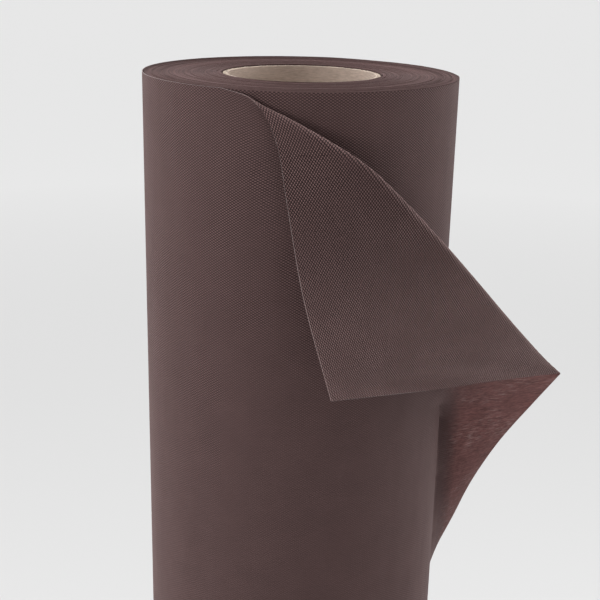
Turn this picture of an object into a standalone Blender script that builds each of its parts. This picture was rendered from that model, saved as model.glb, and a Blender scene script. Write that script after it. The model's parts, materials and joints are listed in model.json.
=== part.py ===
"""A roll of nonwoven weed control fabric standing on its end.

The fabric is wound on a laminated paper tube.  Its outermost turn ends in a
free end that hangs loose at the upper right, with the top corner folded out
and down over the front.  Metres, +Z up, the roll's axis vertical.
"""
import bpy
import numpy as np
from math import radians, cos, sin, pi

# ---------------------------------------------------------------- dimensions
ROLL_LENGTH = 1.000        # width of the fabric, which stands upright
CORE_BORE_D = 0.0760       # inside of the paper tube
CORE_PLY = 0.00055         # one ply of the tube
CORE_GAP = 0.00030         # clearance modelled between the plies
CORE_SETBACK = 0.0010      # the tube stops this far inside each end of the roll
TAPE_WIDTH = 0.025
TAPE_T = 0.00012
PACK_R = 0.08010           # the wound fabric under the outermost turn
SHEET_R = 0.08080          # middle of the outermost turn
SHEET_T = 0.00040          # thickness of one ply
FOOT_GAP = 0.0006          # the loose outer turn ends this far above the floor
AXIS_X = -0.030762         # the roll's axis, so that the origin is under the
AXIS_Y = 0.020165          # middle of the whole object's bounding box
RING_STEPS = 96

THETA_LIFT = radians(-116.5)   # where the outer ply's top edge leaves the roll
WRAP_START = 2.56              # the outermost turn begins this far on (radians)

# Free end, in roll radii: the axis is the origin, the top of the roll is
# z = 0 and the fold faces -Y.  Four guide curves, each through a few points.
TOP_EDGE = [(-0.445, -0.900, 0.0), (-0.259, -0.990, -0.059),
            (-0.133, -1.060, -0.268), (-0.065, -1.150, -0.600),
            (0.038, -1.310, -1.096), (0.200, -1.500, -1.614)]
CUT_FRONT = [(0.200, -1.500, -1.614), (0.547, -1.180, -1.702),
             (0.902, -0.850, -1.791), (1.288, -0.520, -1.863),
             (1.785, -0.200, -1.925)]
CUT_BACK = [(1.785, -0.200, -1.925), (1.668, -0.040, -2.193),
            (1.466, 0.100, -2.566), (1.308, 0.220, -2.947),
            (1.190, 0.310, -3.323), (1.062, 0.400, -3.700)]
CREST = [(-0.259, -0.990, -0.059), (0.138, -1.040, -0.248),
         (0.388, -1.050, -0.366), (0.572, -1.000, -0.552),
         (0.882, -0.820, -0.906), (1.350, -0.465, -1.466),
         (1.785, -0.200, -1.925)]
T_FOLD = 1.95              # where the fold crosses the cut end
T_DOWN = 3.95              # where the cut end lies on the roll again
SHEET_TOP = 5.2            # depth of the part of the sheet that is draped
FOLD_GAP = 0.010           # half the slit between free end and folded corner
SIG_CORNER = 0.29          # share of the top edge where the folded corner begins


# ------------------------------------------------------------ the free sheet
def cut_at(t):
    """Length of fabric from the lift line to the cut end, at depth t."""
    return 2.05 + 0.37 * (1 - np.exp(-np.asarray(t, float) / 1.1))


def spline(points, n=60):
    p = np.asarray(points, float)
    q = np.vstack([2 * p[0] - p[1], p, 2 * p[-1] - p[-2]])
    out = []
    for i in range(len(p) - 1):
        a, b, c, d = q[i:i + 4]
        u = np.linspace(0, 1, n, endpoint=(i == len(p) - 2))[:, None]
        out.append(0.5 * (2 * b + (c - a) * u + (2 * a - 5 * b + 4 * c - d) * u ** 2
                          + (3 * b - a - 3 * c + d) * u ** 3))
    x = np.vstack(out)
    l = np.concatenate([[0], np.cumsum(np.linalg.norm(np.diff(x, axis=0), axis=1))])
    return x, l / l[-1]


def on(curve, u):
    x, l = curve
    return np.stack([np.interp(u, l, x[:, k]) for k in range(3)], -1)


def wound(s, t):
    th = THETA_LIFT + s
    return np.stack([np.cos(th), np.sin(th), -t], -1)


def touch(s):
    """The sheet lies on the roll below this depth."""
    return np.interp(s, [0, 0.5, 1.1, 1.5, 1.8, 1.92, 2.02, 2.45],
                     [0.0, 1.4, 1.90, 2.05, 2.15, 2.30, 3.60, 3.95])


def crest_t(sig):
    return T_FOLD * np.clip((sig - 0.10) / 0.90, 0, 1) ** 1.05


def seam_t(sig):
    """Where the folded corner hinges, on the flap a little below the crest."""
    return crest_t(sig) - (0.30 - 0.15 * (np.asarray(sig, float) - 0.10) / 0.90)


def free_sheet(ni, nj, rounds):
    """Drape the flat sheet between its guide curves, keeping its lengths."""
    ROUNDS_EVEN = 6 if ni < 60 else 16
    x = None
    for lev, (k0, k1, n) in enumerate(rounds):
        f = 2 ** (len(rounds) - 1 - lev)
        NI = (ni - 1) // f + 1
        NJ = (nj - 1) // f + 1
        sig = np.linspace(0, 1, NI)
        tt = np.linspace(0, SHEET_TOP, NJ)
        T = np.broadcast_to(tt[None, :], (NI, NJ)).copy()
        S = sig[:, None] * cut_at(tt)[None, :]
        fixed = T >= touch(S)
        fixed[0] = True
        free = np.where(fixed, 0.0, 1.0)
        W = wound(S, T)
        tc = crest_t(sig)
        if x is None:
            # first guess: the corner mirrored across the fold
            lb = float(cut_at(T_FOLD))
            nrm = np.hypot(lb, T_FOLD)
            side = (T * lb - S * T_FOLD) / nrm
            nb = (T_FOLD / nrm, -lb / nrm)
            s1 = np.where(side < 0, S + 2 * side * nb[0], S)
            t1 = np.where(side < 0, T + 2 * side * nb[1], T)
            rad = np.stack([np.cos(THETA_LIFT + s1), np.sin(THETA_LIFT + s1), 0 * s1], -1)
            x = wound(s1, t1) + rad * (np.clip(touch(s1) - t1, 0, None) * 0.3
                                       + np.clip(-side, 0, None) * 0.45)[..., None]
        else:
            a = np.linspace(0, x.shape[0] - 1, NI)
            b = np.linspace(0, x.shape[1] - 1, NJ)
            x = bilinear(x, a[:, None] + 0 * b[None, :], b[None, :] + 0 * a[:, None])
        top = on(spline([(cos(THETA_LIFT), sin(THETA_LIFT), 0)] + TOP_EDGE[1:]), sig)
        cf = tt <= T_FOLD
        cb = (tt > T_FOLD) & (tt < T_DOWN)
        end = tuple(wound(cut_at(T_DOWN), np.array(T_DOWN)))
        cutf = on(spline(CUT_FRONT), tt[cf] / T_FOLD)
        cutb = on(spline(CUT_BACK + [end]), (tt[cb] - T_FOLD) / (T_DOWN - T_FOLD))
        ic = np.arange(int(0.16 * NI), NI - 1)
        jf = tc[ic] / SHEET_TOP * (NJ - 1)
        jl = np.floor(jf).astype(int)
        fr = (jf - jl)[:, None]
        cr = on(spline(CREST), (sig[ic] - 0.10) / 0.90)
        links = []
        for di, dj in ((1, 0), (0, 1), (1, 1), (1, -1)):
            for par in (0, 1):
                if di:
                    lo = {0: slice(0, NJ), 1: slice(0, NJ - 1), -1: slice(1, NJ)}[dj]
                    hi = {0: slice(0, NJ), 1: slice(1, NJ), -1: slice(0, NJ - 1)}[dj]
                    A = (slice(par, NI - 1, 2), lo)
                    B = (slice(par + 1, NI, 2), hi)
                else:
                    A = (slice(0, NI), slice(par, NJ - 1, 2))
                    B = (slice(0, NI), slice(par + 1, NJ, 2))
                w = free[A] + free[B]
                w = np.where(w > 0, w, 1)
                links.append((A, B, np.hypot(S[B] - S[A], T[B] - T[A]),
                              (free[A] / w)[..., None], (free[B] / w)[..., None]))
        for it in range(n):
            k = k0 + (k1 - k0) * it / n
            y = x.copy()
            y[1:-1] += k * (0.5 * (x[2:] + x[:-2]) - x[1:-1]) * free[1:-1, :, None]
            x = y.copy()
            x[:, 1:-1] += k * (0.5 * (y[:, 2:] + y[:, :-2]) - y[:, 1:-1]) * free[:, 1:-1, None]
            for A, B, rest, wa, wb in links:
                d = x[B] - x[A]
                l = np.sqrt((d * d).sum(-1))
                c = ((l - rest) / np.maximum(l, 1e-9))[..., None] * d
                x[A] += c * wa
                x[B] -= c * wb
            r = np.hypot(x[..., 0], x[..., 1])
            m = np.where(r < 1, 1 / np.maximum(r, 1e-6), 1.0)
            x[..., 0] *= m
            x[..., 1] *= m
            x[1:, 0] += 0.7 * (top[1:] - x[1:, 0])
            x[-1, cf] += 0.7 * (cutf - x[-1, cf])
            x[-1, cb] += 0.7 * (cutb - x[-1, cb])
            d = 0.7 * (cr - (x[ic, jl] * (1 - fr) + x[ic, jl + 1] * fr))
            x[ic, jl] += d * (1 - fr)
            x[ic, jl + 1] += d * fr
            x[fixed] = W[fixed]
    # take out the jitter that the guides leave in the last rounds
    for _ in range(ROUNDS_EVEN):
        y = x.copy()
        y[1:-1, 1:-1] += 0.5 * (0.5 * (x[2:, 2:] + x[:-2, :-2]) - x[1:-1, 1:-1]) * free[1:-1, 1:-1, None]
        r = np.hypot(y[..., 0], y[..., 1])
        y[..., :2] *= np.where(r < 1, 1 / np.maximum(r, 1e-6), 1.0)[..., None]
        x = y
    return x


def bilinear(x, a, b):
    i = np.clip(np.floor(a).astype(int), 0, x.shape[0] - 2)
    j = np.clip(np.floor(b).astype(int), 0, x.shape[1] - 2)
    u = (a - i)[..., None]
    v = (b - j)[..., None]
    return ((x[i, j] * (1 - u) + x[i + 1, j] * u) * (1 - v)
            + (x[i, j + 1] * (1 - u) + x[i + 1, j + 1] * u) * v)


GRID = free_sheet(45, 97, ((0.5, 0.4, 900), (0.35, 0.2, 1200)))


def sheet_point(sig, t):
    """A point of the sheet, in roll radii; below the drape it is wound."""
    sig, t = np.broadcast_arrays(np.asarray(sig, float), np.asarray(t, float))
    draped = bilinear(GRID, sig * (GRID.shape[0] - 1),
                      np.clip(t / SHEET_TOP, 0, 1) * (GRID.shape[1] - 1))
    low = wound(sig * cut_at(t), t)
    return np.where((t > SHEET_TOP)[..., None], low, draped)


# ------------------------------------------------------------------- helpers
def clear():
    for o in list(bpy.data.objects):
        bpy.data.objects.remove(o, do_unlink=True)


def collection(name):
    c = bpy.data.collections.new(name)
    bpy.context.scene.collection.children.link(c)
    return c


def material(name, rgb, rough):
    m = bpy.data.materials.new(name)
    m.use_nodes = True
    b = m.node_tree.nodes["Principled BSDF"]
    b.inputs["Base Color"].default_value = (*rgb, 1.0)
    b.inputs["Roughness"].default_value = rough
    b.inputs["Metallic"].default_value = 0.0
    return m


def mesh_object(name, verts, edges, faces, mat, parent, smooth=True):
    me = bpy.data.meshes.new(name)
    me.from_pydata([tuple(v) for v in verts], edges, faces)
    me.update()
    me.materials.append(mat)
    ob = bpy.data.objects.new(name, me)
    PART.objects.link(ob)
    ob.parent = parent
    if faces and smooth:
        me.shade_smooth()
        me.set_sharp_from_angle(angle=radians(40))
    return ob


def screw(ob, angle, steps):
    m = ob.modifiers.new("Turn", "SCREW")
    m.axis = "Z"
    m.angle = angle
    m.steps = steps
    m.render_steps = steps
    m.use_merge_vertices = True
    m.merge_threshold = 0.00001
    m.use_normal_calculate = False
    m.use_smooth_shade = True
    return m


def thicken(ob, t):
    m = ob.modifiers.new("Thickness", "SOLIDIFY")
    m.thickness = t
    m.offset = 0.0
    m.use_even_offset = True
    m.use_rim = True
    return m


def tube(name, r0, r1, z0, z1, mat, parent):
    """A closed ring turned from its rectangular section."""
    verts = [(r1, 0, z1), (r1, 0, z0), (r0, 0, z0), (r0, 0, z1)]
    ob = mesh_object(name, verts, [(0, 1), (1, 2), (2, 3), (3, 0)], [], mat, parent)
    screw(ob, 2 * pi, RING_STEPS)
    return ob


def arc_shell(name, r, start, span, z0, z1, t, steps, mat, parent):
    """Part of a turn of sheet: a line swept round the axis, then thickened."""
    c, s = r * cos(start), r * sin(start)
    ob = mesh_object(name, [(c, s, z1), (c, s, z0)], [(0, 1)], [], mat, parent)
    screw(ob, span, steps)
    thicken(ob, t)
    return ob


def grid_shell(name, pts, t, origin, mat, parent):
    """A sheet given by a grid of points, thickened both ways."""
    ni, nj = pts.shape[:2]
    verts = (pts - np.asarray(origin)).reshape(-1, 3)
    faces = [(i * nj + j, i * nj + j + 1, (i + 1) * nj + j + 1, (i + 1) * nj + j)
             for i in range(ni - 1) for j in range(nj - 1)]
    ob = mesh_object(name, verts, [], faces, mat, parent)
    thicken(ob, t)
    return ob


def empty(name, location, parent=None):
    e = bpy.data.objects.new(name, None)
    e.empty_display_size = 0.05
    e.location = location
    e.parent = parent
    e.hide_render = True
    PART.objects.link(e)
    return e


# --------------------------------------------------------------------- build
clear()
PART = collection("weed_control_fabric_roll")

paper = material("kraft_paper", (0.52, 0.42, 0.32), 0.85)
paper_in = material("kraft_liner", (0.56, 0.46, 0.375), 0.85)
tape = material("adhesive_tape", (0.72, 0.70, 0.62), 0.45)
fabric = material("brown_nonwoven", (0.086, 0.050, 0.0485), 0.75)
fabric_end = material("brown_nonwoven_free", (0.086, 0.050, 0.0485), 0.75)
fabric_fold = material("brown_nonwoven_inside", (0.093, 0.055, 0.053), 0.75)

R = SHEET_R
axis = empty("roll_axis", (AXIS_X, AXIS_Y, 0.0))

# the paper tube: three spirally wound plies
r = CORE_BORE_D / 2
for name, mat in (("core_inner_ply", paper_in), ("core_middle_ply", paper),
                  ("core_outer_ply", paper)):
    tube(name, r, r + CORE_PLY, CORE_SETBACK, ROLL_LENGTH - CORE_SETBACK, mat, axis)
    r += CORE_PLY + CORE_GAP
core_r = r - CORE_GAP

# the strip of tape that holds the start of the fabric to the tube
tape_r = core_r + 0.0003 + TAPE_T / 2
span = TAPE_WIDTH / tape_r
arc_shell("start_tape", tape_r, radians(60), span, 0.010, ROLL_LENGTH - 0.010,
          TAPE_T, 8, tape, axis)

# the wound fabric under the outermost turn
tube("wound_fabric", tape_r + TAPE_T / 2 + 0.0003, PACK_R, 0.0, ROLL_LENGTH,
     fabric, axis)

# the outermost turn, from behind the cut end round the back to the lift line
arc_shell("outer_wrap", R, THETA_LIFT + WRAP_START,
          2 * pi - WRAP_START - 0.0080, FOOT_GAP, ROLL_LENGTH, SHEET_T, 56,
          fabric, axis)

# the free end: on the roll below, lifting off, over the fold and down to the
# seam; rows of points close together round the fold
sig = np.concatenate([np.linspace(0, SIG_CORNER - 0.006, 8), np.linspace(SIG_CORNER, 1, 18)])
depth = ROLL_LENGTH / R - FOOT_GAP / R
top_t = np.where(sig < SIG_CORNER - 0.003, 0.0, seam_t(sig) + FOLD_GAP)
past = crest_t(sig) + 0.16
tgrid = np.hstack([top_t[:, None] + (past - top_t)[:, None] * np.linspace(0, 1, 7)[None, :-1],
                   past[:, None] + (4.20 - past)[:, None] * np.linspace(0, 1, 22)[None, :],
                   np.full((len(sig), 1), 7.5), np.full((len(sig), 1), depth)])
pts = sheet_point(np.broadcast_to(sig[:, None], tgrid.shape), tgrid) * R
pts[..., 2] += ROLL_LENGTH
hinge = np.array([R * cos(THETA_LIFT), R * sin(THETA_LIFT), 0.0])
free_hinge = empty("free_end_hinge", tuple(hinge), axis)
grid_shell("free_end", pts, SHEET_T, hinge, fabric_end, free_hinge)

# the top corner, folded out and down
sig_f = np.linspace(SIG_CORNER, 1, 20)
w = np.linspace(0, 1, 13)
tf = (seam_t(sig_f) - FOLD_GAP)[:, None] * w[None, :]
fpts = sheet_point(np.broadcast_to(sig_f[:, None], tf.shape), tf) * R
fpts[..., 2] += ROLL_LENGTH

# its hinge: the straight line nearest the seam, moved out past the seam's most
# outward point so that the two edges part, and never cross, as it opens
seam = sheet_point(sig_f, seam_t(sig_f)) * R + np.array([0, 0, ROLL_LENGTH])
mid = seam.mean(axis=0)
line = np.linalg.svd(seam - mid)[2][0]
line = line * (-1 if line[0] > 0 else 1)       # from the tip towards the top edge
out = np.array([mid[0], mid[1], 0.0])
out = out - line * (out @ line)
out = out / np.linalg.norm(out)
fold_point = mid + out * float(((seam - mid) @ out).max())
fold_axis = empty("corner_fold_axis", tuple(fold_point - hinge), free_hinge)
grid_shell("folded_corner", fpts, SHEET_T, fold_point, fabric_fold, fold_axis)
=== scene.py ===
"""Looks for a standing roll of brown nonwoven fabric on a paper core.

The outermost turn ends in a free end that hangs loose, with its top corner
folded out and down.  Metres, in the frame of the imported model.
"""
import bpy
import json
import numpy as np
from math import radians, cos, sin, pi
from mathutils import Matrix, Vector

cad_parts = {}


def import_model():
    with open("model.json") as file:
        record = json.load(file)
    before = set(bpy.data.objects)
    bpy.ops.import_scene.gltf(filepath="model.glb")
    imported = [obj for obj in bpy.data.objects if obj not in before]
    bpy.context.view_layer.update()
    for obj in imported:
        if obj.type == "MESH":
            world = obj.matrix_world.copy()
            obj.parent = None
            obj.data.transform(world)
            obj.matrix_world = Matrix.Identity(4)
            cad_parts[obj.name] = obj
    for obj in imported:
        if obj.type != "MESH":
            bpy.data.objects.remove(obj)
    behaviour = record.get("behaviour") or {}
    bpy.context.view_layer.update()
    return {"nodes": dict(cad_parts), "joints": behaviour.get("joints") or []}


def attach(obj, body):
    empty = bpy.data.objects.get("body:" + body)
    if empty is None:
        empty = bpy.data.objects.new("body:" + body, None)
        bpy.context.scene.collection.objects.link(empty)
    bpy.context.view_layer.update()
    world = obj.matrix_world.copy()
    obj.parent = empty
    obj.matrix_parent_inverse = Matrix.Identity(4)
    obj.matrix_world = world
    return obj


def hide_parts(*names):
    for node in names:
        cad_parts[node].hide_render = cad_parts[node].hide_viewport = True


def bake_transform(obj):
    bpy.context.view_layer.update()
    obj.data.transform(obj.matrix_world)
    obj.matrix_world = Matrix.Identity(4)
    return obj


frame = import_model()

# ---------------------------------------------------------------- dimensions
LENGTH = 1.000
AX, AY = -0.030762, 0.020165        # the roll's axis
CORE_R = 0.0380
CORE_PLY = 0.00055
CORE_GAP = 0.00030
PACK_IN = 0.04097
PACK_R = 0.08010
R = 0.08080                       # middle of the outermost turn
T_CLOTH = 0.00040
FOOT = 0.0006
LIFT = radians(-116.5)
WRAP_FROM = 3.00                  # the outermost turn starts beyond the cut end
TURNS = 112
DIAMOND_U = 0.00197               # embossed lattice, round the roll and along it
DIAMOND_V = 0.00129

rng = np.random.default_rng(7)

# ------------------------------------------------------- the draped free end
# Guide curves in roll radii: axis at the origin, top of the roll at z = 0.
TOP_EDGE = [(-0.445, -0.900, 0.0), (-0.259, -0.990, -0.059),
            (-0.133, -1.060, -0.268), (-0.065, -1.150, -0.600),
            (0.038, -1.310, -1.096), (0.200, -1.500, -1.614)]
CUT_FRONT = [(0.200, -1.500, -1.614), (0.547, -1.180, -1.702),
             (0.902, -0.850, -1.791), (1.288, -0.520, -1.863),
             (1.785, -0.200, -1.925)]
CUT_BACK = [(1.785, -0.200, -1.925), (1.668, -0.040, -2.193),
            (1.466, 0.100, -2.566), (1.308, 0.220, -2.947),
            (1.190, 0.310, -3.323), (1.062, 0.400, -3.700)]
CREST = [(-0.259, -0.990, -0.059), (0.138, -1.040, -0.248),
         (0.388, -1.050, -0.366), (0.572, -1.000, -0.552),
         (0.882, -0.820, -0.906), (1.350, -0.465, -1.466),
         (1.785, -0.200, -1.925)]
T_FOLD = 1.95
T_DOWN = 3.95
SHEET_TOP = 5.2
SIG_CORNER = 0.29


def cut_at(t):
    return 2.05 + 0.37 * (1 - np.exp(-np.asarray(t, float) / 1.1))


def spline(points, n=60):
    p = np.asarray(points, float)
    q = np.vstack([2 * p[0] - p[1], p, 2 * p[-1] - p[-2]])
    out = []
    for i in range(len(p) - 1):
        a, b, c, d = q[i:i + 4]
        u = np.linspace(0, 1, n, endpoint=(i == len(p) - 2))[:, None]
        out.append(0.5 * (2 * b + (c - a) * u + (2 * a - 5 * b + 4 * c - d) * u ** 2
                          + (3 * b - a - 3 * c + d) * u ** 3))
    x = np.vstack(out)
    l = np.concatenate([[0], np.cumsum(np.linalg.norm(np.diff(x, axis=0), axis=1))])
    return x, l / l[-1]


def on(curve, u):
    x, l = curve
    return np.stack([np.interp(u, l, x[:, k]) for k in range(3)], -1)


def wound(s, t):
    th = LIFT + s
    return np.stack([np.cos(th), np.sin(th), -t], -1)


def touch(s):
    return np.interp(s, [0, 0.5, 1.1, 1.5, 1.8, 1.92, 2.02, 2.45],
                     [0.0, 1.4, 1.90, 2.05, 2.15, 2.30, 3.60, 3.95])


def crest_t(sig):
    return T_FOLD * np.clip((sig - 0.10) / 0.90, 0, 1) ** 1.05


def seam_t(sig):
    """Where the folded corner hinges, on the flap a little below the crest."""
    return crest_t(sig) - (0.30 - 0.15 * (np.asarray(sig, float) - 0.10) / 0.90)


def bilinear(x, a, b):
    i = np.clip(np.floor(a).astype(int), 0, x.shape[0] - 2)
    j = np.clip(np.floor(b).astype(int), 0, x.shape[1] - 2)
    u = (a - i)[..., None]
    v = (b - j)[..., None]
    return ((x[i, j] * (1 - u) + x[i + 1, j] * u) * (1 - v)
            + (x[i, j + 1] * (1 - u) + x[i + 1, j + 1] * u) * v)


def free_sheet(ni, nj, rounds):
    """Drape the flat sheet between its guide curves, keeping its lengths."""
    ROUNDS_EVEN = 6 if ni < 60 else 16
    x = None
    for lev, (k0, k1, n) in enumerate(rounds):
        f = 2 ** (len(rounds) - 1 - lev)
        NI = (ni - 1) // f + 1
        NJ = (nj - 1) // f + 1
        sig = np.linspace(0, 1, NI)
        tt = np.linspace(0, SHEET_TOP, NJ)
        T = np.broadcast_to(tt[None, :], (NI, NJ)).copy()
        S = sig[:, None] * cut_at(tt)[None, :]
        fixed = T >= touch(S)
        fixed[0] = True
        free = np.where(fixed, 0.0, 1.0)
        W = wound(S, T)
        tc = crest_t(sig)
        if x is None:
            lb = float(cut_at(T_FOLD))
            nrm = np.hypot(lb, T_FOLD)
            side = (T * lb - S * T_FOLD) / nrm
            nb = (T_FOLD / nrm, -lb / nrm)
            s1 = np.where(side < 0, S + 2 * side * nb[0], S)
            t1 = np.where(side < 0, T + 2 * side * nb[1], T)
            rad = np.stack([np.cos(LIFT + s1), np.sin(LIFT + s1), 0 * s1], -1)
            x = wound(s1, t1) + rad * (np.clip(touch(s1) - t1, 0, None) * 0.3
                                       + np.clip(-side, 0, None) * 0.45)[..., None]
        else:
            a = np.linspace(0, x.shape[0] - 1, NI)
            b = np.linspace(0, x.shape[1] - 1, NJ)
            x = bilinear(x, a[:, None] + 0 * b[None, :], b[None, :] + 0 * a[:, None])
        top = on(spline([(cos(LIFT), sin(LIFT), 0)] + TOP_EDGE[1:]), sig)
        cf = tt <= T_FOLD
        cb = (tt > T_FOLD) & (tt < T_DOWN)
        end = tuple(wound(cut_at(T_DOWN), np.array(T_DOWN)))
        cutf = on(spline(CUT_FRONT), tt[cf] / T_FOLD)
        cutb = on(spline(CUT_BACK + [end]), (tt[cb] - T_FOLD) / (T_DOWN - T_FOLD))
        ic = np.arange(int(0.16 * NI), NI - 1)
        jf = tc[ic] / SHEET_TOP * (NJ - 1)
        jl = np.floor(jf).astype(int)
        fr = (jf - jl)[:, None]
        cr = on(spline(CREST), (sig[ic] - 0.10) / 0.90)
        links = []
        for di, dj in ((1, 0), (0, 1), (1, 1), (1, -1)):
            for par in (0, 1):
                if di:
                    lo = {0: slice(0, NJ), 1: slice(0, NJ - 1), -1: slice(1, NJ)}[dj]
                    hi = {0: slice(0, NJ), 1: slice(1, NJ), -1: slice(0, NJ - 1)}[dj]
                    A = (slice(par, NI - 1, 2), lo)
                    B = (slice(par + 1, NI, 2), hi)
                else:
                    A = (slice(0, NI), slice(par, NJ - 1, 2))
                    B = (slice(0, NI), slice(par + 1, NJ, 2))
                w = free[A] + free[B]
                w = np.where(w > 0, w, 1)
                links.append((A, B, np.hypot(S[B] - S[A], T[B] - T[A]),
                              (free[A] / w)[..., None], (free[B] / w)[..., None]))
        for it in range(n):
            k = k0 + (k1 - k0) * it / n
            y = x.copy()
            y[1:-1] += k * (0.5 * (x[2:] + x[:-2]) - x[1:-1]) * free[1:-1, :, None]
            x = y.copy()
            x[:, 1:-1] += k * (0.5 * (y[:, 2:] + y[:, :-2]) - y[:, 1:-1]) * free[:, 1:-1, None]
            for A, B, rest, wa, wb in links:
                d = x[B] - x[A]
                l = np.sqrt((d * d).sum(-1))
                c = ((l - rest) / np.maximum(l, 1e-9))[..., None] * d
                x[A] += c * wa
                x[B] -= c * wb
            r = np.hypot(x[..., 0], x[..., 1])
            m = np.where(r < 1, 1 / np.maximum(r, 1e-6), 1.0)
            x[..., 0] *= m
            x[..., 1] *= m
            x[1:, 0] += 0.7 * (top[1:] - x[1:, 0])
            x[-1, cf] += 0.7 * (cutf - x[-1, cf])
            x[-1, cb] += 0.7 * (cutb - x[-1, cb])
            d = 0.7 * (cr - (x[ic, jl] * (1 - fr) + x[ic, jl + 1] * fr))
            x[ic, jl] += d * (1 - fr)
            x[ic, jl + 1] += d * fr
            x[fixed] = W[fixed]
    # take out the jitter that the guides leave in the last rounds
    for _ in range(ROUNDS_EVEN):
        y = x.copy()
        y[1:-1, 1:-1] += 0.5 * (0.5 * (x[2:, 2:] + x[:-2, :-2]) - x[1:-1, 1:-1]) * free[1:-1, 1:-1, None]
        r = np.hypot(y[..., 0], y[..., 1])
        y[..., :2] *= np.where(r < 1, 1 / np.maximum(r, 1e-6), 1.0)[..., None]
        x = y
    return x


GRID = free_sheet(89, 193, ((0.5, 0.4, 900), (0.35, 0.2, 1200), (0.30, 0.15, 500)))


def cubic(f):
    """Weights of a uniform cubic B-spline, which keeps the drape smooth."""
    return ((1 - f) ** 3 / 6, (3 * f ** 3 - 6 * f ** 2 + 4) / 6,
            (-3 * f ** 3 + 3 * f ** 2 + 3 * f + 1) / 6, f ** 3 / 6)


def padded_grid(g):
    g = np.concatenate([2 * g[:1] - g[1:2], g, 2 * g[-1:] - g[-2:-1]], 0)
    return np.concatenate([2 * g[:, :1] - g[:, 1:2], g, 2 * g[:, -1:] - g[:, -2:-1]], 1)


def smoothed(g):
    """The B-spline through control points g, at the grid's own points."""
    p = padded_grid(g)
    p = (p[:-2] + 4 * p[1:-1] + p[2:]) / 6
    return (p[:, :-2] + 4 * p[:, 1:-1] + p[:, 2:]) / 6


# control points moved until the smooth surface passes through the drape
CONTROL = GRID.copy()
for _ in range(2):
    CONTROL = CONTROL + (GRID - smoothed(CONTROL))
PADDED = padded_grid(CONTROL)


def sheet_point(sig, t):
    sig, t = np.broadcast_arrays(np.asarray(sig, float), np.asarray(t, float))
    a = np.clip(sig, 0, 1) * (GRID.shape[0] - 1)
    b = np.clip(t / SHEET_TOP, 0, 1) * (GRID.shape[1] - 1)
    i = np.clip(np.floor(a).astype(int), 0, GRID.shape[0] - 2)
    j = np.clip(np.floor(b).astype(int), 0, GRID.shape[1] - 2)
    wa, wb = cubic(a - i), cubic(b - j)
    p = sum(wa[m][..., None] * wb[n][..., None] * PADDED[i + m, j + n]
            for m in range(4) for n in range(4))
    low = wound(sig * cut_at(t), t)
    k = np.clip((t - SHEET_TOP + 0.35) / 0.3, 0, 1)[..., None]
    return p * (1 - k) + low * k


def sheet_normal(sig, t):
    """Unit normal, pointing away from the roll where the sheet is wound."""
    e = 0.006
    a0, a1 = np.clip(sig - e, 0, 1), np.clip(sig + e, 0, 1)
    t0, t1 = np.clip(t - 2 * e, 0, None), t + 2 * e
    n = np.cross(sheet_point(sig, t0) - sheet_point(sig, t1),
                 sheet_point(a1, t) - sheet_point(a0, t))
    n = -n
    return n / np.maximum(np.linalg.norm(n, axis=-1, keepdims=True), 1e-12)


def world(p):
    q = np.asarray(p, float) * R
    q[..., 0] += AX
    q[..., 1] += AY
    q[..., 2] += LENGTH
    return q


# ----------------------------------------------------------------- materials
def new_material(name):
    m = bpy.data.materials.new(name)
    m.use_nodes = True
    nt = m.node_tree
    return m, nt, nt.nodes["Principled BSDF"], nt.nodes["Material Output"]


def math(nt, op, a, b=None, c=None):
    n = nt.nodes.new("ShaderNodeMath")
    n.operation = op
    for k, v in enumerate((a, b, c)):
        if v is None:
            continue
        if isinstance(v, (int, float)):
            n.inputs[k].default_value = v
        else:
            nt.links.new(v, n.inputs[k])
    return n.outputs[0]


def mix_colour(nt, fac, a, b, mode="MIX"):
    n = nt.nodes.new("ShaderNodeMix")
    n.data_type = "RGBA"
    n.blend_type = mode
    for k, v in ((0, fac), (6, a), (7, b)):
        if isinstance(v, (int, float)):
            n.inputs[k].default_value = v
        elif isinstance(v, tuple):
            n.inputs[k].default_value = (*v, 1.0)
        else:
            nt.links.new(v, n.inputs[k])
    return n.outputs[2]


def noise(nt, vector, scale, detail=2.0, rough=0.5, dims="3D"):
    n = nt.nodes.new("ShaderNodeTexNoise")
    n.noise_dimensions = dims
    n.inputs["Scale"].default_value = scale
    n.inputs["Detail"].default_value = detail
    n.inputs["Roughness"].default_value = rough
    nt.links.new(vector, n.inputs["Vector"])
    return n.outputs["Fac"]


def stretched(nt, vector, scale):
    n = nt.nodes.new("ShaderNodeMapping")
    n.inputs["Scale"].default_value = scale
    nt.links.new(vector, n.inputs["Vector"])
    return n.outputs[0]


def spread(nt, value, lo, hi, to_lo=0.0, to_hi=1.0):
    n = nt.nodes.new("ShaderNodeMapRange")
    n.inputs["From Min"].default_value = lo
    n.inputs["From Max"].default_value = hi
    n.inputs["To Min"].default_value = to_lo
    n.inputs["To Max"].default_value = to_hi
    nt.links.new(value, n.inputs["Value"])
    return n.outputs[0]


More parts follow.
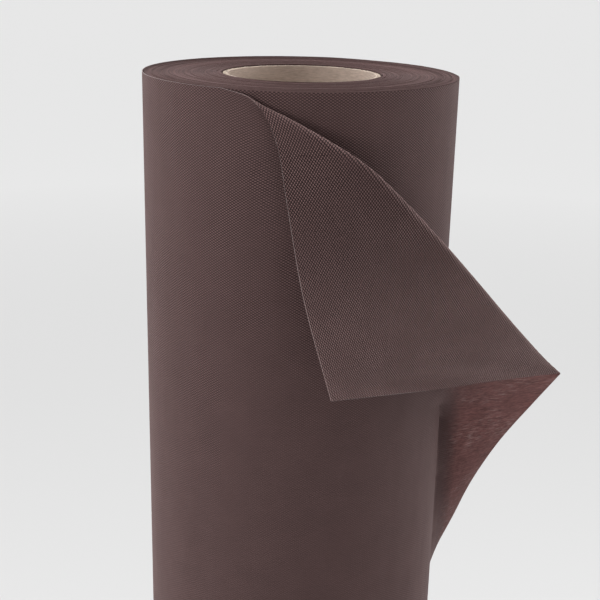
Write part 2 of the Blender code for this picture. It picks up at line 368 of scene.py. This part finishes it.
def cloth_material(name, colour, glow=None, emboss=1.0, sheen=0.10, through=0.22, fade=None,
                   single=None):
    """Spunbonded nonwoven with a diamond lattice pressed into it.

    The cloth map holds metres on the flat sheet, so the lattice runs on
    across the pieces.  glow is the colour of light that comes through,
    single the depth on the sheet where one layer alone begins.
    """
    m, nt, b, out = new_material(name)
    uv = nt.nodes.new("ShaderNodeUVMap")
    uv.uv_map = "cloth"
    sep = nt.nodes.new("ShaderNodeSeparateXYZ")
    nt.links.new(uv.outputs[0], sep.inputs[0])
    u = math(nt, "DIVIDE", sep.outputs[0], DIAMOND_U)
    v = math(nt, "DIVIDE", sep.outputs[1], DIAMOND_V)
    ridges = []
    for op in ("ADD", "SUBTRACT"):
        w = math(nt, op, u, v)
        ridges.append(math(nt, "ABSOLUTE", math(nt, "SINE", math(nt, "MULTIPLY", w, pi))))
    pillow = math(nt, "MULTIPLY", ridges[0], ridges[1])
    # how crisply the lattice was pressed varies over the cloth
    crisp = spread(nt, noise(nt, uv.outputs[0], 26.0, 3.0), 0.34, 0.66, 0.45, 1.0)
    lattice = math(nt, "MULTIPLY", math(nt, "SUBTRACT", pillow, 0.405), crisp)
    lattice = math(nt, "MULTIPLY", lattice, emboss)
    if fade:
        # rubbed flatter from fade[0] to fade[1] metres below the upper edge
        lattice = math(nt, "MULTIPLY", lattice,
                       spread(nt, sep.outputs[1], fade[0], fade[1], 1.0, fade[2]))
    # fibres: short streaks in two directions, and cloudy web density
    fine = noise(nt, stretched(nt, uv.outputs[0], (900.0, 2600.0, 1.0)), 1.0, 3.0, 0.6)
    fine2 = noise(nt, stretched(nt, uv.outputs[0], (2200.0, 700.0, 1.0)), 1.0, 2.0, 0.6)
    fibre = math(nt, "ADD", math(nt, "MULTIPLY", fine, 0.5), math(nt, "MULTIPLY", fine2, 0.5))
    cloud = noise(nt, stretched(nt, uv.outputs[0], (46.0, 50.0, 1.0)), 1.0, 4.0, 0.55)
    # the lattice also sets the colour, darker in the pressed lines and paler on the pillows: painted shade
    # and light of the relief, on top of its bump
    tone = math(nt, "ADD", math(nt, "MULTIPLY", lattice, 2.3),
                math(nt, "ADD", math(nt, "MULTIPLY", math(nt, "SUBTRACT", fibre, 0.5), 0.38),
                     math(nt, "MULTIPLY", math(nt, "SUBTRACT", cloud, 0.5), 0.26)))
    gain = math(nt, "MAXIMUM", math(nt, "ADD", tone, 1.0), 0.12)
    tint = nt.nodes.new("ShaderNodeVectorMath")
    tint.operation = "SCALE"
    tint.inputs[0].default_value = colour
    nt.links.new(gain, tint.inputs["Scale"])
    nt.links.new(tint.outputs[0], b.inputs["Base Color"])
    b.inputs["Roughness"].default_value = 0.72
    b.inputs["Specular IOR Level"].default_value = 0.14
    b.inputs["Sheen Weight"].default_value = sheen
    b.inputs["Sheen Roughness"].default_value = 0.45
    b.inputs["Sheen Tint"].default_value = (0.85, 0.60, 0.57, 1.0)
    # soft dents and lengthwise creases of the cloth on the roll
    dent = noise(nt, stretched(nt, uv.outputs[0], (42.0, 9.0, 1.0)), 1.0, 2.0, 0.45)
    dent2 = noise(nt, stretched(nt, uv.outputs[0], (26.0, 38.0, 1.0)), 1.0, 2.0, 0.5)
    soft = math(nt, "ADD", math(nt, "MULTIPLY", dent, 5.0), math(nt, "MULTIPLY", dent2, 3.0))
    height = math(nt, "ADD", math(nt, "ADD", math(nt, "MULTIPLY", lattice, 1.0), soft),
                  math(nt, "MULTIPLY", fibre, 0.45))
    bump = nt.nodes.new("ShaderNodeBump")
    bump.inputs["Strength"].default_value = 0.9
    bump.inputs["Distance"].default_value = 0.00024
    nt.links.new(height, bump.inputs["Height"])
    nt.links.new(bump.outputs[0], b.inputs["Normal"])
    if glow:
        tr = nt.nodes.new("ShaderNodeBsdfTranslucent")
        thin = noise(nt, stretched(nt, uv.outputs[0], (120.0, 520.0, 1.0)), 1.0, 4.0, 0.65)
        thin2 = noise(nt, stretched(nt, uv.outputs[0], (420.0, 900.0, 1.0)), 1.0, 3.0, 0.6)
        web = spread(nt, math(nt, "ADD", math(nt, "MULTIPLY", thin, 0.45),
                              math(nt, "MULTIPLY", thin2, 0.55)), 0.36, 0.66, 0.62, 1.30)
        g = nt.nodes.new("ShaderNodeVectorMath")
        g.operation = "SCALE"
        g.inputs[0].default_value = glow
        nt.links.new(web, g.inputs["Scale"])
        # thin places in patches of the web, where stray fibres show whitish
        patch = spread(nt, noise(nt, stretched(nt, uv.outputs[0], (38.0, 48.0, 1.0)),
                                 1.0, 3.0, 0.6), 0.44, 0.60)
        stray = spread(nt, noise(nt, stretched(nt, uv.outputs[0], (230.0, 950.0, 1.0)),
                                 1.0, 3.0, 0.7), 0.50, 0.66)
        pale = nt.nodes.new("ShaderNodeVectorMath")
        pale.operation = "SCALE"
        pale.inputs[0].default_value = (0.34, 0.40, 0.39) if single else (0.0, 0.0, 0.0)
        nt.links.new(math(nt, "MULTIPLY", patch, stray), pale.inputs["Scale"])
        both = nt.nodes.new("ShaderNodeVectorMath")
        both.operation = "ADD"
        nt.links.new(g.outputs[0], both.inputs[0])
        nt.links.new(pale.outputs[0], both.inputs[1])
        nt.links.new(both.outputs[0], tr.inputs["Color"])
        nt.links.new(bump.outputs[0], tr.inputs["Normal"])
        mix = nt.nodes.new("ShaderNodeMixShader")
        # only cloth that stands free lets light through, not cloth on the roll
        loose = nt.nodes.new("ShaderNodeAttribute")
        loose.attribute_name = "loose"
        share = math(nt, "MULTIPLY", loose.outputs["Fac"], through)
        if single:
            # above it the folded corner lies behind the cloth
            share = math(nt, "MULTIPLY", share,
                         spread(nt, sep.outputs[1], single - 0.020, single, 0.12, 1.0))
            # and more of the light comes through further down
            share = math(nt, "MULTIPLY", share,
                         spread(nt, sep.outputs[1], single, single + 0.13, 0.93, 1.24))
        nt.links.new(share, mix.inputs[0])
        nt.links.new(b.outputs[0], mix.inputs[1])
        nt.links.new(tr.outputs[0], mix.inputs[2])
        nt.links.new(mix.outputs[0], out.inputs["Surface"])
    return m


def edge_material(name, colour):
    """Cut edge of the cloth: frayed fibres, with a colour paler than its face that is also a painted
    highlight of the edge catching light.
    """
    m, nt, b, out = new_material(name)
    tc = nt.nodes.new("ShaderNodeTexCoord")
    n = noise(nt, tc.outputs["Object"], 2400.0, 3.0, 0.6)
    c = mix_colour(nt, spread(nt, n, 0.3, 0.7), tuple(x * 0.62 for x in colour), colour)
    nt.links.new(c, b.inputs["Base Color"])
    b.inputs["Roughness"].default_value = 0.85
    b.inputs["Sheen Weight"].default_value = 0.4
    return m


def ply_end_material(name, colour):
    """Edges of the wound turns: each ply a little lighter or darker, with painted shade in the gaps between
    turns.
    """
    m, nt, b, out = new_material(name)
    at = nt.nodes.new("ShaderNodeAttribute")
    at.attribute_name = "ply_tone_gap_shade"
    tc = nt.nodes.new("ShaderNodeTexCoord")
    n = noise(nt, tc.outputs["Object"], 1500.0, 3.0, 0.6)
    k = math(nt, "MULTIPLY", at.outputs["Fac"], spread(nt, n, 0.3, 0.7, 0.80, 1.18))
    tint = nt.nodes.new("ShaderNodeVectorMath")
    tint.operation = "SCALE"
    tint.inputs[0].default_value = colour
    nt.links.new(k, tint.inputs["Scale"])
    nt.links.new(tint.outputs[0], b.inputs["Base Color"])
    b.inputs["Roughness"].default_value = 0.85
    b.inputs["Specular IOR Level"].default_value = 0.15
    return m


def paper_material(name, colour, dark):
    """Kraft board, its fibres running round the tube, with a spiral joint."""
    m, nt, b, out = new_material(name)
    uv = nt.nodes.new("ShaderNodeUVMap")
    uv.uv_map = "cloth"
    sep = nt.nodes.new("ShaderNodeSeparateXYZ")
    nt.links.new(uv.outputs[0], sep.inputs[0])
    fib = noise(nt, stretched(nt, uv.outputs[0], (260.0, 1500.0, 1.0)), 1.0, 5.0, 0.62)
    blot = noise(nt, stretched(nt, uv.outputs[0], (40.0, 60.0, 1.0)), 1.0, 3.0)
    # the plies are wound on the slant: a fine joint repeats every 105 mm
    seam = math(nt, "FRACT", math(nt, "ADD", math(nt, "DIVIDE", sep.outputs[1], 0.105),
                                  math(nt, "DIVIDE", sep.outputs[0], 2 * pi * CORE_R)))
    line = math(nt, "LESS_THAN", seam, 0.012)
    tone = math(nt, "ADD", math(nt, "MULTIPLY", fib, 0.6), math(nt, "MULTIPLY", blot, 0.4))
    c = mix_colour(nt, spread(nt, tone, 0.35, 0.65), dark, colour)
    c = mix_colour(nt, math(nt, "MULTIPLY", line, 0.55), c, tuple(x * 0.45 for x in dark))
    nt.links.new(c, b.inputs["Base Color"])
    b.inputs["Roughness"].default_value = 0.88
    b.inputs["Specular IOR Level"].default_value = 0.25
    bump = nt.nodes.new("ShaderNodeBump")
    bump.inputs["Strength"].default_value = 0.5
    bump.inputs["Distance"].default_value = 0.0002
    nt.links.new(math(nt, "SUBTRACT", fib, math(nt, "MULTIPLY", line, 0.8)), bump.inputs["Height"])
    nt.links.new(bump.outputs[0], b.inputs["Normal"])
    return m


def tape_material(name):
    m, nt, b, out = new_material(name)
    tc = nt.nodes.new("ShaderNodeTexCoord")
    n = noise(nt, stretched(nt, tc.outputs["Object"], (1.0, 1.0, 0.25)), 220.0, 3.0)
    nt.links.new(mix_colour(nt, n, (0.60, 0.55, 0.44), (0.74, 0.71, 0.62)),
                 b.inputs["Base Color"])
    b.inputs["Roughness"].default_value = 0.4
    return m


BROWN = (0.086, 0.0500, 0.0485)
cloth_roll = cloth_material("nonwoven_brown", BROWN, fade=(0.10, 0.24, 0.30))
cloth_free = cloth_material("nonwoven_brown_single", BROWN, glow=(0.60, 0.385, 0.370),
                            through=0.46, fade=(0.10, 0.17, 0.25), single=T_FOLD * R)
cloth_turned = cloth_material("nonwoven_brown_inner_side", (0.0895, 0.0515, 0.0500),
                              glow=(0.36, 0.12, 0.12), sheen=0.60, through=0.18, emboss=1.9)
# the cut edge's colour, about twice the face's brown, is partly a painted highlight of the thin edge
cut_edge = edge_material("nonwoven_cut_edge", (0.19, 0.115, 0.11))
ply_ends = ply_end_material("nonwoven_ply_ends", (0.108, 0.0625, 0.060))
paper_in = paper_material("kraft_liner", (0.65, 0.528, 0.450), (0.40, 0.322, 0.270))
paper_out = paper_material("kraft_board", (0.55, 0.455, 0.375), (0.39, 0.31, 0.245))
tape = tape_material("packing_tape")


# ------------------------------------------------------------------ builders
def make(name, verts, faces, uvs, mats, mat_of=None, smooth=True):
    me = bpy.data.meshes.new(name)
    me.from_pydata([tuple(v) for v in verts], [], [tuple(f) for f in faces])
    me.update()
    for m in mats:
        me.materials.append(m)
    if mat_of is not None:
        me.polygons.foreach_set("material_index", np.asarray(mat_of, np.int32))
    if uvs is not None:
        lay = me.uv_layers.new(name="cloth")
        idx = np.zeros(len(me.loops), np.int32)
        me.loops.foreach_get("vertex_index", idx)
        lay.data.foreach_set("uv", np.asarray(uvs, np.float32)[idx].ravel())
    if smooth:
        me.shade_smooth()
        me.set_sharp_from_angle(angle=radians(50))
    ob = bpy.data.objects.new(name, me)
    bpy.context.scene.collection.objects.link(ob)
    return ob


def cloth_piece(name, mid, normal, uv, mats, cut, turned=None):
    """A closed sheet: two faces of cloth and a rim all round.

    The sides named in cut are cut edges and take the edge material.  On the
    others the cloth runs on in another piece, whose rim lies on this one's.
    """
    ni, nj = mid.shape[:2]
    a = (mid + normal * T_CLOTH / 2).reshape(-1, 3)
    b = (mid - normal * T_CLOTH / 2).reshape(-1, 3)
    n = ni * nj
    verts = np.vstack([a, b])
    uvs = np.vstack([uv.reshape(-1, 2)] * 2)
    g = np.arange(n).reshape(ni, nj)
    q = np.stack([g[:-1, :-1], g[:-1, 1:], g[1:, 1:], g[1:, :-1]], -1).reshape(-1, 4)
    # the first face points along the normal
    e1 = a[q[:, 1]] - a[q[:, 0]]
    e2 = a[q[:, 3]] - a[q[:, 0]]
    if (np.cross(e1, e2) * normal.reshape(-1, 3)[q[:, 0]]).sum() < 0:
        q = q[:, ::-1]
    faces = [q, q[:, ::-1] + n]
    # where the cloth is folded over, its inner side has its own material
    back = np.zeros(len(q), int) if turned is None else 2 * turned[:-1, :-1].reshape(-1).astype(int)
    kind = [np.zeros(len(q), int), back]
    sides = {"s0": g[0, :], "s1": g[-1, :], "t0": g[:, 0], "t1": g[:, -1]}
    for k, r in sides.items():
        f = np.stack([r[:-1], r[1:], r[1:] + n, r[:-1] + n], -1)
        inner = {"s0": mid[1, 0], "s1": mid[-2, 0], "t0": mid[0, 1], "t1": mid[0, -2]}[k]
        c = np.cross(verts[f[0, 1]] - verts[f[0, 0]], verts[f[0, 3]] - verts[f[0, 0]])
        if np.dot(c, inner - verts[f[0, 0]]) > 0:
            f = f[:, ::-1]
        faces.append(f)
        kind.append(np.full(len(f), int(k in cut)))
    return make(name, verts, np.vstack(faces).tolist(), uvs, mats,
                np.concatenate(kind))


def mark_loose(ob, sg, t):
    """How far off the roll each point stands: 0 where wound, 1 where free."""
    off = np.hypot(*np.moveaxis(sheet_point(sg, t)[..., :2], -1, 0)) - 1.0
    k = np.clip((off - 0.02) / 0.12, 0, 1).reshape(-1)
    at = ob.data.attributes.new("loose", "FLOAT", "POINT")
    at.data.foreach_set("value", np.concatenate([k, k]).astype(np.float32))


def wander(n, step, amp, seed):
    """A smooth closed random curve of n values."""
    g = np.random.default_rng(seed)
    th = np.linspace(0, 2 * pi, n, endpoint=False)
    out = np.zeros(n)
    for k in range(1, step + 1):
        out += g.normal() / k * np.cos(k * th + g.uniform(0, 2 * pi))
    return amp * out


# --------------------------------------------------------- the draped pieces
NS = 150
k0 = 46                            # columns left of the folded corner
sig = np.concatenate([np.linspace(0, SIG_CORNER - 0.0004, k0),
                      np.linspace(SIG_CORNER, 1, NS - k0)])
top_t = np.where(np.arange(NS) < k0, 0.0, seam_t(sig))


def flat_uv(sg, t):
    s = sg * cut_at(t)
    return np.stack([s * R, t * R], -1)


# free end: from the seam down to the floor
past = crest_t(sig) + 0.20
tg = np.hstack([top_t[:, None] + (past - top_t)[:, None] * np.linspace(0, 1, 46)[None, :-1],
                past[:, None] + (SHEET_TOP - 0.02 - past)[:, None] * np.linspace(0, 1, 140)[None, :]])
low = np.linspace(SHEET_TOP - 0.02, (LENGTH - FOOT) / R, 34)[1:]
tg = np.hstack([tg, np.broadcast_to(low[None, :], (NS, len(low)))])
sg = np.broadcast_to(sig[:, None], tg.shape)
free_end = cloth_piece("free_end_cloth", world(sheet_point(sg, tg)), sheet_normal(sg, tg),
                       flat_uv(sg, tg), [cloth_free, cut_edge, cloth_turned], ("s1", "t0", "t1"),
                       tg < crest_t(sg) + 0.02)
mark_loose(free_end, sg, tg)
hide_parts("free_end")

# folded corner
sf = sig[k0:]
wf = np.linspace(0, 1, 110)
tf = top_t[k0:, None] * wf[None, :]
sgf = np.broadcast_to(sf[:, None], tf.shape)
corner = cloth_piece("folded_corner_cloth", world(sheet_point(sgf, tf)), sheet_normal(sgf, tf),
                     flat_uv(sgf, tf), [cloth_free, cut_edge, cloth_turned], ("s1", "t0"),
                     np.ones(tf.shape, bool))
mark_loose(corner, sgf, tf)
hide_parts("folded_corner")

# outermost turn, spiralling out from the turn below to the lift line
na, nz = 220, 90
s = np.linspace(WRAP_FROM - 2 * pi, 0, na)
t = np.linspace(0, (LENGTH - FOOT) / R, nz)
f = (s - s[0]) / (s[-1] - s[0])
rad = (PACK_R + 0.00028 + (R - PACK_R - 0.00028) * np.clip(f / 0.6, 0, 1)) / R
S, T = np.meshgrid(s, t, indexing="ij")
# its upper edge comes up from the level of the turn below
dip = 0.00042 / R * (1 - np.clip(f / 0.12, 0, 1))[:, None] * (1 - T / T.max())
mid = np.stack([rad[:, None] * np.cos(LIFT + S), rad[:, None] * np.sin(LIFT + S), -T - dip], -1)
nrm = np.stack([np.cos(LIFT + S), np.sin(LIFT + S), 0 * S], -1)
wrap = cloth_piece("outer_turn_cloth", world(mid), nrm, np.stack([S * R, T * R], -1),
                   [cloth_roll, cut_edge], ("s0", "t0", "t1"))
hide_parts("outer_wrap")
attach(wrap, "outer_turn")


# ---------------------------------------------------------------- the pack
def ply_end(name, top, per_turn, seed):
    """Edges of the wound turns, one strip that spirals out from the core."""
    g = np.random.default_rng(seed)
    n = per_turn * TURNS
    ph = np.arange(n + 1) / per_turn
    pitch = (PACK_R - PACK_IN) / (TURNS + 1)
    # each turn stands a little in or out, and drifts as it goes round
    level = np.zeros(TURNS + 2)
    for k in range(1, TURNS + 2):
        level[k] = 0.72 * level[k - 1] + g.normal() * 0.00011
    level += np.where(g.uniform(size=TURNS + 2) < 0.13, g.normal(size=TURNS + 2) * 0.00026, 0)
    rim = np.clip((np.arange(TURNS + 2) - (TURNS - 3)) / 3, 0, 1)
    level = level * (1 - 0.6 * rim) - 0.00045 * (1 - rim) - 0.00012
    smooth = np.interp(ph, np.arange(TURNS + 2), level)
    drift = np.interp(ph % 1, np.linspace(0, 1, 65),
                      np.append(wander(64, 6, 0.00011, seed + 1), wander(64, 6, 0.00011, seed + 1)[0]))
    h = np.minimum(smooth + drift + g.normal(size=n + 1) * 0.000015, -0.00002)
    tone = np.clip(1 + 0.20 * np.interp(ph, np.arange(TURNS + 2), g.normal(size=TURNS + 2)), 0.5, 1.5)
    r = PACK_IN + pitch * ph
    th = 2 * pi * ph
    rows = []
    # the strip's two outer rows lie lower and take half the colour: painted shade in the gaps between turns
    for frac, dz, dark in ((0.0, -0.00018, 0.50), (0.22, 0.0, 1.0), (0.78, 0.0, 1.0), (1.0, -0.00018, 0.50)):
        rr = np.minimum(r + pitch * frac, PACK_R)
        z = h + dz
        rows.append((rr, z, tone * dark))
    verts, tones_gap_shade = [], []
    for rr, z, tn in rows:
        zz = LENGTH + z if top else -z
        verts.append(np.stack([AX + rr * np.cos(th), AY + rr * np.sin(th), zz], -1))
        tones_gap_shade.append(tn)
    V = np.stack(verts, 1)
    Tn = np.stack(tones_gap_shade, 1)
    m = V.shape[0]
    gi = np.arange(m * 4).reshape(m, 4)
    q = np.stack([gi[:-1, :-1], gi[:-1, 1:], gi[1:, 1:], gi[1:, :-1]], -1).reshape(-1, 4)
    if top:
        q = q[:, ::-1]
    a = V.reshape(-1, 3)
    up = np.cross(a[q[0, 1]] - a[q[0, 0]], a[q[0, 3]] - a[q[0, 0]])[2]
    if (up < 0) == top:
        q = q[:, ::-1]
    ob = make(name, a, q.tolist(), None, [ply_ends], smooth=False)
    at = ob.data.attributes.new("ply_tone_gap_shade", "FLOAT", "POINT")
    at.data.foreach_set("value", Tn.reshape(-1).astype(np.float32))
    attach(ob, "roll")
    return ob


top_end = ply_end("wound_turns_upper_end", True, 150, 11)
base_end = ply_end("wound_turns_lower_end", False, 90, 23)

# side of the pack, and its inside wall next to the tube
na, nz = 220, 60
th = np.linspace(0, 2 * pi, na + 1)
zz = np.linspace(0.0004, LENGTH - 0.0004, nz)
TH, Z = np.meshgrid(th, zz, indexing="ij")
outer = np.stack([AX + PACK_R * np.cos(TH), AY + PACK_R * np.sin(TH), Z], -1)
inner = np.stack([AX + PACK_IN * np.cos(TH), AY + PACK_IN * np.sin(TH), Z], -1)
g = np.arange((na + 1) * nz).reshape(na + 1, nz)
q = np.stack([g[:-1, :-1], g[1:, :-1], g[1:, 1:], g[:-1, 1:]], -1).reshape(-1, 4)
n = g.size
uv = np.stack([(TH - LIFT) * R, (LENGTH - Z)], -1).reshape(-1, 2)
pack = make("wound_turns_side", np.vstack([outer.reshape(-1, 3), inner.reshape(-1, 3)]),
            np.vstack([q, q[:, ::-1] + n]).tolist(), np.vstack([uv, uv]), [cloth_roll])
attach(pack, "roll")
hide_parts("wound_fabric")


# ---------------------------------------------------------------- the core
def paper_ply(name, r0, mat, seed, node, ragged):
    """One ply of the tube; its sawn ends are a little ragged."""
    na = 360
    g = np.random.default_rng(seed)
    th = np.linspace(0, 2 * pi, na, endpoint=False)
    rag = wander(na, 26, 0.00005, seed) + g.normal(size=na) * ragged
    rag -= np.where(g.uniform(size=na) < 0.06, g.uniform(0, 1, na) * ragged * 7, 0)
    ztop = np.minimum(LENGTH - 0.001 + rag, LENGTH - 0.0006)
    zbot = 0.001 + np.abs(rag)
    lev = np.concatenate([[0.0], np.linspace(0.01, 0.99, 30), [1.0]])
    verts, uvs, ring = [], [], []
    for r, dr in ((r0, 0), (r0 + CORE_PLY, 0)):
        Z = zbot[:, None] + (ztop - zbot)[:, None] * lev[None, :]
        P = np.stack([AX + r * np.cos(th)[:, None] + 0 * Z, AY + r * np.sin(th)[:, None] + 0 * Z, Z], -1)
        verts.append(P.reshape(-1, 3))
        uvs.append(np.stack([th[:, None] * r + 0 * Z, Z], -1).reshape(-1, 2))
    nl = len(lev)
    g0 = np.arange(na * nl).reshape(na, nl)
    nx = np.roll(g0, -1, 0)
    q = np.stack([g0[:, :-1], nx[:, :-1], nx[:, 1:], g0[:, 1:]], -1).reshape(-1, 4)
    n = g0.size
    capt = np.stack([g0[:, -1], nx[:, -1], nx[:, -1] + n, g0[:, -1] + n], -1)
    capb = np.stack([g0[:, 0], g0[:, 0] + n, nx[:, 0] + n, nx[:, 0]], -1)
    faces = np.vstack([q[:, ::-1], q + n, capt[:, ::-1], capb[:, ::-1]])
    ob = make(name, np.vstack(verts), faces.tolist(), np.vstack(uvs), [mat])
    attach(ob, "roll")
    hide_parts(node)
    return ob


r = CORE_R
for k, (node, mat, slot) in enumerate((("core_inner_ply", paper_in, "core_liner"),
                                       ("core_middle_ply", paper_out, "core_board"),
                                       ("core_outer_ply", paper_out, "core_board"))):
    paper_ply(node.replace("core_", "tube_") + "_paper", r, mat, 40 + k, node, 0.00007)
    r += CORE_PLY + CORE_GAP

strip = frame["nodes"]["start_tape"]
strip.data.materials.clear()
strip.data.materials.append(tape)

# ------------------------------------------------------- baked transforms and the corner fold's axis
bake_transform(free_end)
joint = next(j for j in frame["joints"] if j["name"] == "corner_fold")
fold_p = np.array(joint["pos_m"])
fold_d = np.array(joint["axis"]) / np.linalg.norm(joint["axis"])
pts = np.array([v.co for v in corner.data.vertices])
away = pts.mean(0) - fold_p
away -= fold_d * (away @ fold_d)
away /= np.linalg.norm(away)
seam_pts = world(sheet_point(sf, top_t[k0:]))
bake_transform(corner)


# --------------------------------------------------------------------- stage
me = bpy.data.meshes.new("floor")
me.from_pydata([(-60, -60, 0), (60, -60, 0), (60, 60, 0), (-60, 60, 0)], [], [(0, 1, 2, 3)])
floor = bpy.data.objects.new("floor", me)
bpy.context.scene.collection.objects.link(floor)
fm, nt, b, out = new_material("pale_floor")
# a shade darker near the object, where the lamps reach it too
ftc = nt.nodes.new("ShaderNodeTexCoord")
flen = nt.nodes.new("ShaderNodeVectorMath")
flen.operation = "LENGTH"
nt.links.new(ftc.outputs["Object"], flen.inputs[0])
near = spread(nt, flen.outputs["Value"], 0.3, 4.5)
nt.links.new(mix_colour(nt, near, (0.62, 0.62, 0.62), (0.875, 0.875, 0.875)), b.inputs["Base Color"])
b.inputs["Roughness"].default_value = 0.95
b.inputs["Specular IOR Level"].default_value = 0.05
me.materials.append(fm)

world_shader = bpy.data.worlds.new("studio")
bpy.context.scene.world = world_shader
world_shader.use_nodes = True
wn = world_shader.node_tree
bg = wn.nodes["Background"]
tc = wn.nodes.new("ShaderNodeTexCoord")
sp = wn.nodes.new("ShaderNodeSeparateXYZ")
wn.links.new(tc.outputs["Generated"], sp.inputs[0])
mr = wn.nodes.new("ShaderNodeMapRange")
mr.interpolation_type = "SMOOTHSTEP"
mr.inputs["From Min"].default_value = -0.75
mr.inputs["From Max"].default_value = 0.55
mr.inputs["To Min"].default_value = 0.21
mr.inputs["To Max"].default_value = 1.44
wn.links.new(sp.outputs[1], mr.inputs["Value"])
wn.links.new(mr.outputs[0], bg.inputs["Strength"])
bg.inputs["Color"].default_value = (1.0, 1.0, 1.0, 1)


def softbox(name, place, target, size, power):
    l = bpy.data.lights.new(name, "AREA")
    l.shape = "RECTANGLE"
    l.size, l.size_y = size
    l.energy = power
    o = bpy.data.objects.new(name, l)
    o.location = place
    o.rotation_mode = "QUATERNION"
    o.rotation_quaternion = (Vector(target) - Vector(place)).to_track_quat("-Z", "Y")
    bpy.context.scene.collection.objects.link(o)


softbox("left_softbox", (-1.5, 0.10, 1.15), (0, 0, 0.75), (0.7, 1.5), 4)
softbox("right_softbox", (1.6, 0.30, 1.15), (0, 0, 0.75), (0.7, 1.5), 10)
softbox("front_softbox", (-1.45, -1.45, 0.80), (0, 0, 0.88), (0.40, 0.55), 9.5)
softbox("top_softbox", (-0.45, -0.15, 2.2), (0, 0, 1.0), (0.8, 0.8), 14)

# -------------------------------------------------------------------- camera
cam = bpy.data.cameras.new("camera")
cam.sensor_width = 36.0
cam.lens = 66.66
cam.clip_start, cam.clip_end = 0.01, 200.0
co = bpy.data.objects.new("camera", cam)
al, ro, ps = radians(17.84), radians(1.29), radians(0.17)
fw = np.array([sin(ps) * cos(al), cos(ps) * cos(al), -sin(al)])
rt0 = np.array([cos(ps), -sin(ps), 0.0])
up0 = np.cross(rt0, fw)
rt = rt0 * cos(ro) + up0 * sin(ro)
up = -rt0 * sin(ro) + up0 * cos(ro)
m = Matrix.Identity(4)
for k in range(3):
    m[k][0], m[k][1], m[k][2] = rt[k], up[k], -fw[k]
m[0][3], m[1][3], m[2][3] = AX, AY - 7.136 * R, LENGTH + 0.779 * R
co.matrix_world = m
bpy.context.scene.collection.objects.link(co)
bpy.context.scene.camera = co
bpy.context.scene.view_settings.view_transform = "Standard"
